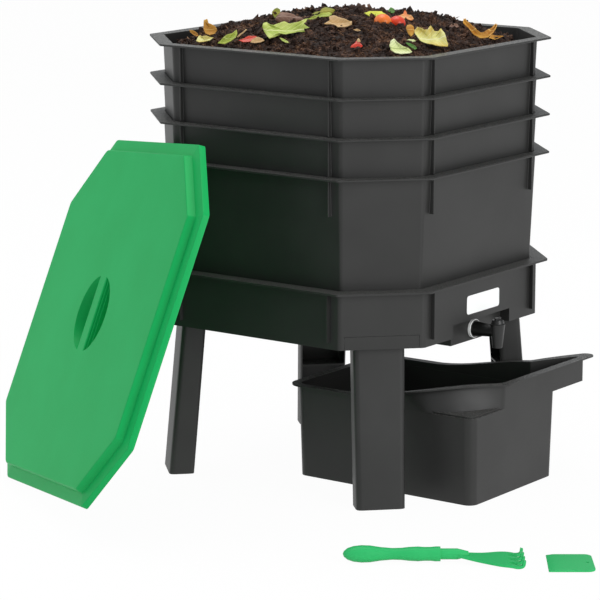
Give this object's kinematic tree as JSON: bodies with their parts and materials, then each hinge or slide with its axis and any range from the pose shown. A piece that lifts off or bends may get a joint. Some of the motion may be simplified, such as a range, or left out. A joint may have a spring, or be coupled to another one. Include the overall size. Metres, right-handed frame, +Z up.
{
  "type": "wormery",
  "caption": "Stacking tray worm composter on a legged eight-sided base, with drain tap, leaning lid, collector bin with a pouring spout, hand rake and scraper.",
  "frame": {"origin": "on the ground, under the middle of the stack of trays, midway between the four feet", "axes": "+Z up along the stack; -Y is the side with the tap and the bare label; +X to the right of it"},
  "size_m": [0.6764, 0.8454, 0.5752],
  "materials": {
    "black_plastic": "fine-grained satin black",
    "green_plastic": "smooth satin green",
    "white_plastic": "smooth white",
    "seal_rubber": "matt black",
    "compost": "dark crumbly compost with leaves and kitchen scraps"
  },
  "bodies": {
    "stand": {"sump_base": "black_plastic", "base_skirt": "black_plastic", "leg_front_left": "black_plastic", "leg_front_right": "black_plastic", "leg_rear_left": "black_plastic", "leg_rear_right": "black_plastic", "tap_body": "black_plastic", "tap_washer": "white_plastic", "tap_inner_seal": "seal_rubber", "tap_nut": "black_plastic", "label_plate": "white_plastic"},
    "tap_valve": {"tap_plug": "black_plastic", "tap_handle": "black_plastic"},
    "lower_tray": {"tray_4": "black_plastic"},
    "third_tray": {"tray_3": "black_plastic"},
    "second_tray": {"tray_2": "black_plastic"},
    "top_tray": {"tray_1": "black_plastic", "compost_bed": "compost"},
    "lid_body": {"lid": "green_plastic"},
    "bin_body": {"collector_bin": "black_plastic"},
    "rake_body": {"rake_grip": "green_plastic", "rake_head": "green_plastic"},
    "scraper_body": {"scraper": "green_plastic"}
  },
  "joints": [
    {"name": "tap_turn", "type": "hinge", "parent": "stand", "child": "tap_valve", "pos_m": [0, -0.22, 0.1957], "axis": [0, 0, 1], "range_deg": [0, 90]},
    {"name": "lower_tray_lift", "type": "slide", "parent": "stand", "child": "lower_tray", "axis": [0, 0, 1], "range_m": [0, 0.06]},
    {"name": "third_tray_lift", "type": "slide", "parent": "lower_tray", "child": "third_tray", "axis": [0, 0, 1], "range_m": [0, 0.15]},
    {"name": "second_tray_lift", "type": "slide", "parent": "third_tray", "child": "second_tray", "axis": [0, 0, 1], "range_m": [0, 0.15]},
    {"name": "top_tray_lift", "type": "slide", "parent": "second_tray", "child": "top_tray", "axis": [0, 0, 1], "range_m": [0, 0.15]},
    {"name": "lid_lift", "type": "slide", "parent": "stand", "child": "lid_body", "axis": [0, 0, 1], "range_m": [0, 0.3]},
    {"name": "bin_pull", "type": "slide", "parent": "stand", "child": "bin_body", "axis": [0, -1, 0], "range_m": [0, 0.32]},
    {"name": "rake_lift", "type": "slide", "parent": "stand", "child": "rake_body", "axis": [0, 0, 1], "range_m": [0, 0.15]},
    {"name": "scraper_lift", "type": "slide", "parent": "stand", "child": "scraper_body", "axis": [0, 0, 1], "range_m": [0, 0.15]}
  ]
}
